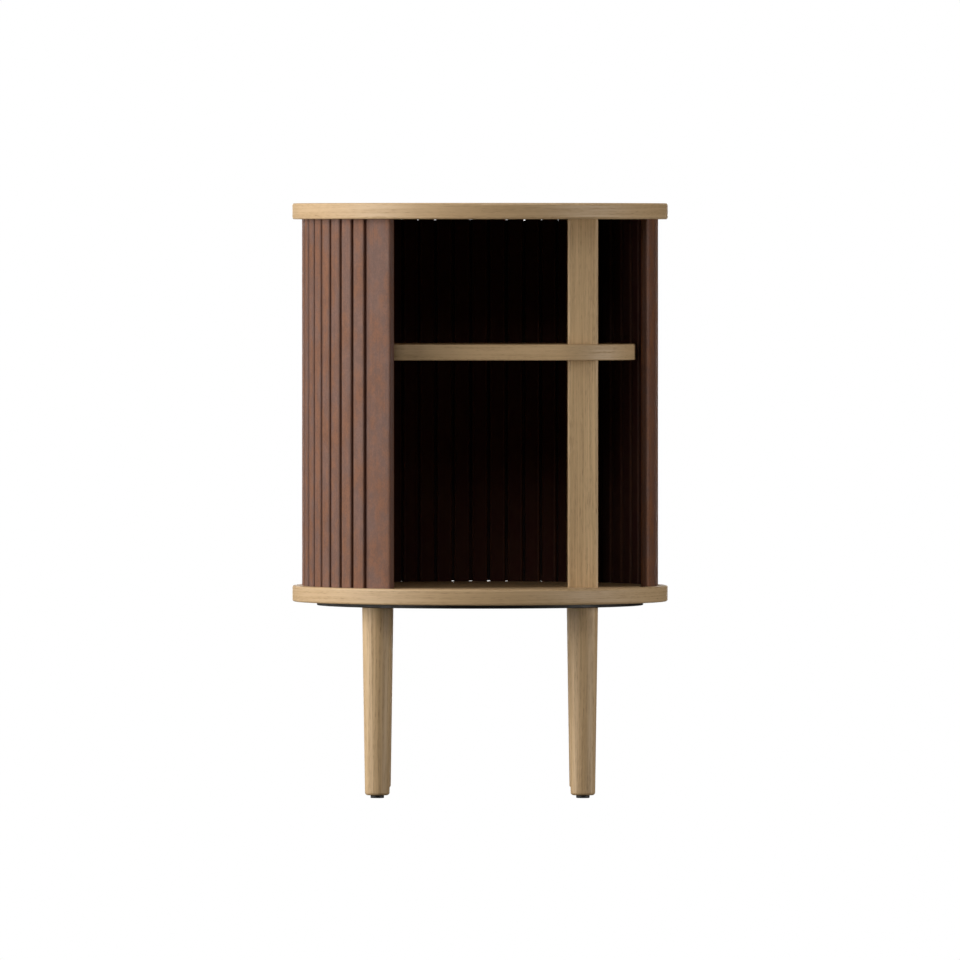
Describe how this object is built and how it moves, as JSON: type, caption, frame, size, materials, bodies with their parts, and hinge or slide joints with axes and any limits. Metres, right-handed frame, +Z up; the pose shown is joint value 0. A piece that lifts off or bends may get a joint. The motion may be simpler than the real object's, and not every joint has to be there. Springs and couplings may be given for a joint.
{
  "type": "side table",
  "caption": "Round side table: a cabinet with a divided inside on turned legs, closed by a slatted curtain that turns right round in grooves in its boards.",
  "frame": {"origin": "on the floor under the glides, at the centre of the circle that both boards share", "axes": "+Z up, -Y towards the front, where the curtain's opening stands at rest, +X to the right seen from the front"},
  "size_m": [0.3999, 0.4, 0.63],
  "materials": {
    "oak": "matt oiled oak with fine straight grain",
    "curtain_skin": "mottled reddish brown skin with a soft sheen, wrapped round each slat",
    "web_skin": "dark brown skin, matt",
    "black_steel": "matt black powder coat",
    "bright_steel": "zinc plated",
    "black_plastic": "matt black",
    "beech": "plain beech dowel"
  },
  "bodies": {
    "carcass": {"top_board": "oak", "base_board": "oak", "shelf": "oak", "mounting_plate": "black_steel", "leg_studs": "bright_steel", "foot_glides": "black_plastic", "plate_screws": "bright_steel", "post_screws": "bright_steel", "post_dowels": "beech", "leg_front_left": "oak", "leg_front_right": "oak", "leg_rear_left": "oak", "leg_rear_right": "oak", "post_front_left": "oak", "post_front_right": "oak", "post_rear_left": "oak", "post_rear_right": "oak"},
    "curtain": {"curtain_stile_leading": "curtain_skin", "curtain_stile_trailing": "curtain_skin", "curtain_slat_01": "curtain_skin", "curtain_slat_02": "curtain_skin", "curtain_slat_03": "curtain_skin", "curtain_slat_04": "curtain_skin", "curtain_slat_05": "curtain_skin", "curtain_slat_06": "curtain_skin", "curtain_slat_07": "curtain_skin", "curtain_slat_08": "curtain_skin", "curtain_slat_09": "curtain_skin", "curtain_slat_10": "curtain_skin", "curtain_slat_11": "curtain_skin", "curtain_slat_12": "curtain_skin", "curtain_slat_13": "curtain_skin", "curtain_slat_14": "curtain_skin", "curtain_slat_15": "curtain_skin", "curtain_slat_16": "curtain_skin", "curtain_slat_17": "curtain_skin", "curtain_slat_18": "curtain_skin", "curtain_slat_19": "curtain_skin", "curtain_slat_20": "curtain_skin", "curtain_slat_21": "curtain_skin", "curtain_slat_22": "curtain_skin", "curtain_slat_23": "curtain_skin", "curtain_slat_24": "curtain_skin", "curtain_slat_25": "curtain_skin", "curtain_slat_26": "curtain_skin", "curtain_slat_27": "curtain_skin", "curtain_slat_28": "curtain_skin", "curtain_slat_29": "curtain_skin", "curtain_slat_30": "curtain_skin", "curtain_slat_31": "curtain_skin", "curtain_slat_32": "curtain_skin", "curtain_slat_33": "curtain_skin", "curtain_slat_34": "curtain_skin", "curtain_slat_35": "curtain_skin", "curtain_slat_36": "curtain_skin", "curtain_slat_37": "curtain_skin", "curtain_slat_38": "curtain_skin", "curtain_slat_39": "curtain_skin", "curtain_slat_40": "curtain_skin", "curtain_webs": "web_skin"}
  },
  "joints": [
    {"name": "curtain_turn", "type": "hinge", "parent": "carcass", "child": "curtain", "pos_m": [0, 0, 0.418], "axis": [0, 0, 1], "continuous": true}
  ]
}
